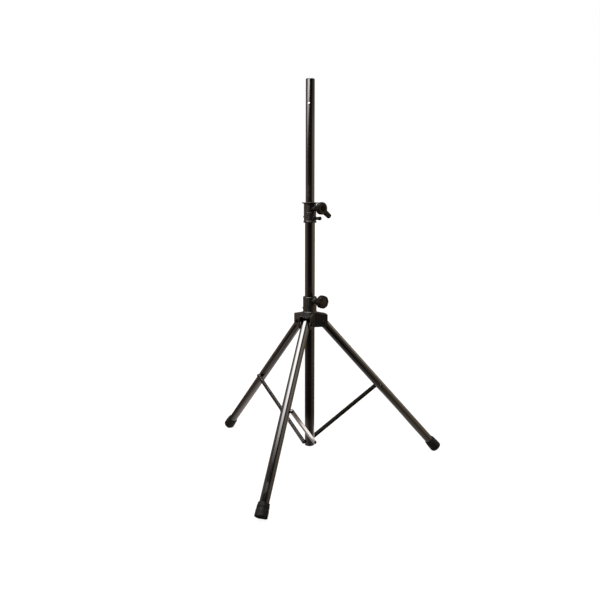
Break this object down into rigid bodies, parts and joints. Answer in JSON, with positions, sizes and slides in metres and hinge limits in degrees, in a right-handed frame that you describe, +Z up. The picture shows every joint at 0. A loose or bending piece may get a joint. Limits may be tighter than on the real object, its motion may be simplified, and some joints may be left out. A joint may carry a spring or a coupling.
{
  "type": "speaker stand",
  "caption": "Folding tripod stand with a telescopic pole, a sliding hub, clamp knobs, a spring lock pin, leg braces and rubber feet, made to carry a loudspeaker.",
  "frame": {"origin": "on the floor, on the axis of the main tube", "axes": "+Z up along the main tube and pole; legs point to -90, 30 and 150 degrees in plan; knobs face -30 degrees"},
  "size_m": [1.0112, 0.8822, 1.537],
  "materials": {
    "gloss_black": "glossy black paint on steel tube",
    "bracket_black": "semi-gloss black paint on pressed steel",
    "moulded_black": "black moulded nylon, fine texture",
    "knob_black": "black moulded plastic, soft sheen",
    "rubber_black": "black rubber",
    "nylon_grey": "natural grey nylon",
    "zinc_steel": "zinc-plated steel",
    "black_steel": "black-finished steel fasteners",
    "brass_insert": "turned brass"
  },
  "bodies": {
    "column": {"main_tube": "gloss_black", "tube_bottom_plug": "moulded_black", "brace_pivot_bolts": "black_steel", "brace_pivot_spacers": "black_steel", "upper_collar": "moulded_black", "upper_collar_bush": "nylon_grey", "upper_collar_screws": "black_steel", "upper_knob_insert": "brass_insert", "lock_pin_barrel": "zinc_steel", "lock_pin_spring": "zinc_steel"},
    "hub": {"hub_bracket": "bracket_black", "hub_collar": "moulded_black", "hub_bush": "nylon_grey", "hub_knob_insert": "brass_insert", "hub_collar_screws": "black_steel", "leg_pivot_bolts": "black_steel", "leg_pivot_nuts": "black_steel", "leg_pivot_washers": "nylon_grey"},
    "leg_1": {"leg_1_tube": "gloss_black", "leg_1_top_plug": "nylon_grey", "foot_cap_1": "rubber_black", "leg_1_brace_bolt": "black_steel", "leg_1_brace_spacer": "black_steel"},
    "leg_2": {"leg_2_tube": "gloss_black", "leg_2_top_plug": "nylon_grey", "foot_cap_2": "rubber_black", "leg_2_brace_bolt": "black_steel", "leg_2_brace_spacer": "black_steel"},
    "leg_3": {"leg_3_tube": "gloss_black", "leg_3_top_plug": "nylon_grey", "foot_cap_3": "rubber_black", "leg_3_brace_bolt": "black_steel", "leg_3_brace_spacer": "black_steel"},
    "brace_1": {"brace_1": "gloss_black", "brace_1_top_rivet": "black_steel"},
    "brace_2": {"brace_2": "gloss_black", "brace_2_top_rivet": "black_steel"},
    "brace_3": {"brace_3": "gloss_black", "brace_3_top_rivet": "black_steel"},
    "pole_guide": {"pole_guide_bush": "nylon_grey"},
    "pole": {"pole_tube": "gloss_black", "pole_top_plug": "moulded_black", "pole_top_rivet": "zinc_steel"},
    "upper_clamp": {"upper_clamp_pad": "nylon_grey"},
    "upper_knob": {"upper_knob": "knob_black", "upper_knob_stud": "zinc_steel", "upper_knob_cap": "knob_black"},
    "hub_clamp": {"hub_clamp_pad": "nylon_grey"},
    "hub_knob": {"hub_knob": "knob_black", "hub_knob_stud": "zinc_steel", "hub_knob_cap": "knob_black"},
    "lock_pin": {"lock_pin_rod": "zinc_steel", "lock_pin_knob": "knob_black"}
  },
  "joints": [
    {"name": "pole_slide", "type": "slide", "parent": "column", "child": "pole_guide", "axis": [0, 0, 1], "range_m": [-0.35, 0.28]},
    {"name": "pole_turn", "type": "hinge", "parent": "pole_guide", "child": "pole", "pos_m": [0, 0, 0.634], "axis": [0, 0, 1], "continuous": true},
    {"name": "hub_slide", "type": "slide", "parent": "column", "child": "hub", "axis": [0, 0, 1], "range_m": [0, 0.23732]},
    {"name": "leg_1_fold", "type": "hinge", "parent": "hub", "child": "leg_1", "pos_m": [0, -0.054, 0.588], "axis": [1, 0, 0], "range_deg": [-0.01, 41.58]},
    {"name": "leg_2_fold", "type": "hinge", "parent": "hub", "child": "leg_2", "pos_m": [0.04677, 0.027, 0.588], "axis": [-0.5, 0.866, 0], "range_deg": [-0.01, 41.58]},
    {"name": "leg_3_fold", "type": "hinge", "parent": "hub", "child": "leg_3", "pos_m": [-0.04677, 0.027, 0.588], "axis": [-0.5, -0.866, 0], "range_deg": [-0.01, 41.58]},
    {"name": "brace_1_fold", "type": "hinge", "parent": "column", "child": "brace_1", "pos_m": [0.025, -0.009, 0.084], "axis": [-1, 0, 0], "range_deg": [-0.01, 45.77]},
    {"name": "brace_2_fold", "type": "hinge", "parent": "column", "child": "brace_2", "pos_m": [-0.00471, 0.02615, 0.084], "axis": [0.5, -0.866, 0], "range_deg": [-0.01, 45.77]},
    {"name": "brace_3_fold", "type": "hinge", "parent": "column", "child": "brace_3", "pos_m": [-0.02029, -0.01715, 0.084], "axis": [0.5, 0.866, 0], "range_deg": [-0.01, 45.77]},
    {"name": "upper_clamp_slide", "type": "slide", "parent": "column", "child": "upper_clamp", "axis": [0.866, -0.5, 0], "range_m": [-0.00001, 0.0019]},
    {"name": "upper_knob_turn", "type": "hinge", "parent": "upper_clamp", "child": "upper_knob", "pos_m": [0, 0, 1.044], "axis": [0.866, -0.5, 0], "range_deg": [0, 540]},
    {"name": "hub_clamp_slide", "type": "slide", "parent": "hub", "child": "hub_clamp", "axis": [0.866, -0.5, 0], "range_m": [-0.00001, 0.0019]},
    {"name": "hub_knob_turn", "type": "hinge", "parent": "hub_clamp", "child": "hub_knob", "pos_m": [0, 0, 0.6775], "axis": [0.866, -0.5, 0], "range_deg": [0, 540]},
    {"name": "lock_pin_pull", "type": "slide", "parent": "column", "child": "lock_pin", "axis": [-0.866, 0.5, 0], "range_m": [-0.0035, 0.005], "stiffness_N_per_m": 500, "springref_m": 0.005, "deforming": ["lock_pin_spring"]}
  ],
  "couplings": [
    {"joint": "leg_1_fold", "follows": "hub_slide", "rad_per_m": 3.0565},
    {"joint": "leg_2_fold", "follows": "hub_slide", "rad_per_m": 3.0565},
    {"joint": "leg_3_fold", "follows": "hub_slide", "rad_per_m": 3.0565},
    {"joint": "brace_1_fold", "follows": "hub_slide", "rad_per_m": 3.3643},
    {"joint": "brace_2_fold", "follows": "hub_slide", "rad_per_m": 3.3643},
    {"joint": "brace_3_fold", "follows": "hub_slide", "rad_per_m": 3.3643},
    {"joint": "upper_clamp_slide", "follows": "upper_knob_turn", "m_per_rad": 0.00019894},
    {"joint": "hub_clamp_slide", "follows": "hub_knob_turn", "m_per_rad": 0.00019894}
  ]
}
